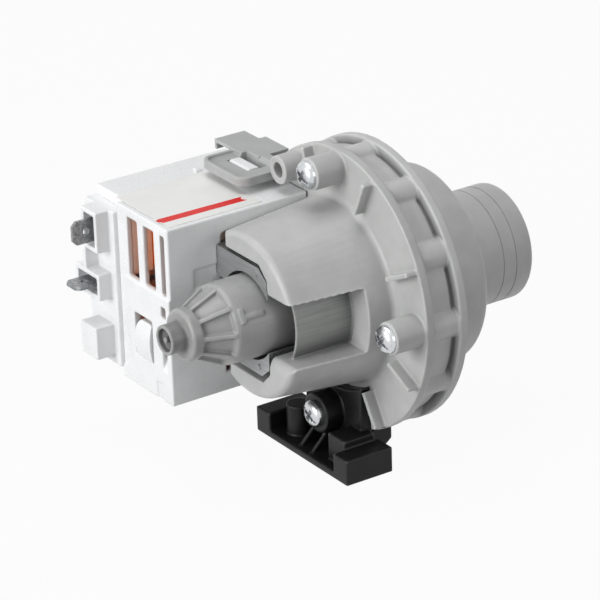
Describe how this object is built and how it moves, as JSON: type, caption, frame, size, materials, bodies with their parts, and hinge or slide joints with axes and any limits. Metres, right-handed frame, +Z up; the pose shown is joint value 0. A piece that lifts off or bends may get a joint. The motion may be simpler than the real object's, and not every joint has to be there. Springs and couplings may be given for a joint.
{
  "type": "drain pump",
  "caption": "Drain pump: axial inlet spigot, round pump chamber with side outlet, clipped-on stator box with tab terminals, and a screw-on foot.",
  "frame": {"origin": "on the pump axis, where the inlet spigot leaves the pump chamber", "axes": "+X along the pump axis out of the inlet spigot, +Y towards the stator and along the outlet spigot, +Z up, away from the foot"},
  "size_m": [0.1, 0.093, 0.0795],
  "materials": {
    "housing_grey": "moulded light grey talc-filled plastic, fine satin",
    "volute_grey": "moulded grey plastic, fine satin",
    "latch_grey": "moulded grey plastic, satin",
    "cover_white": "moulded white plastic, semi-gloss",
    "label_white": "printed plastic film, matt",
    "bobbin_peach": "moulded peach-beige plastic",
    "coil_copper": "enamelled copper wire, layer wound",
    "core_steel": "punched electrical steel sheet, oiled",
    "rivet_steel": "upset steel",
    "shaft_steel": "ground stainless steel",
    "magnet_ferrite": "sintered ferrite, ground",
    "inner_plastic": "natural white plastic",
    "impeller_grey": "moulded glass-filled plastic",
    "bearing_black": "carbon-filled bearing bush",
    "seal_rubber": "black rubber",
    "tab_tinned": "tinned brass, dull",
    "screw_zinc": "bright zinc plate",
    "foot_black": "moulded black plastic, satin",
    "cutout_cream": "cream plastic sleeve"
  },
  "bodies": {
    "pump": {"volute_housing": "volute_grey", "motor_housing": "housing_grey", "joint_oring": "seal_rubber", "bearing_plate": "inner_plastic", "front_bearing": "bearing_black", "rear_bearing": "bearing_black", "rear_bearing_seat": "seal_rubber", "shaft_seal": "seal_rubber", "core_poles": "core_steel", "core_yoke": "core_steel", "core_rivets": "rivet_steel", "bobbin_upper": "bobbin_peach", "bobbin_lower": "bobbin_peach", "coil_upper": "coil_copper", "coil_lower": "coil_copper", "thermal_cutout": "cutout_cream", "stator_cover": "cover_white", "rating_label": "label_white", "terminal_housing": "cover_white", "terminal_upper": "tab_tinned", "terminal_lower": "tab_tinned", "flange_screws": "screw_zinc", "foot_bracket": "foot_black"},
    "rotor": {"rotor_shaft": "shaft_steel", "rotor_magnet": "magnet_ferrite", "rotor_hub": "inner_plastic", "thrust_washer": "inner_plastic", "drive_dog": "inner_plastic", "impeller_keeper": "shaft_steel"},
    "impeller": {"impeller": "impeller_grey", "dog_cover": "impeller_grey"},
    "latch": {"stator_latch": "latch_grey"},
    "tongue": {"snap_tongue": "cover_white"}
  },
  "joints": [
    {"name": "rotor_spin", "type": "hinge", "parent": "pump", "child": "rotor", "pos_m": [-0.0451, 0, 0], "axis": [1, 0, 0], "continuous": true},
    {"name": "impeller_play", "type": "hinge", "parent": "rotor", "child": "impeller", "pos_m": [-0.016, 0, 0], "axis": [1, 0, 0], "range_deg": [-98, 98]},
    {"name": "latch_flex", "type": "hinge", "parent": "pump", "child": "latch", "pos_m": [-0.02692, 0.0295, 0.0262], "axis": [0, 1, 0], "range_deg": [0, 11], "stiffness_Nm_per_rad": 0.4},
    {"name": "tongue_flex", "type": "hinge", "parent": "pump", "child": "tongue", "pos_m": [-0.0686, 0.0253, -0.0168], "axis": [0, -1, 0], "range_deg": [0, 6], "stiffness_Nm_per_rad": 0.2}
  ]
}
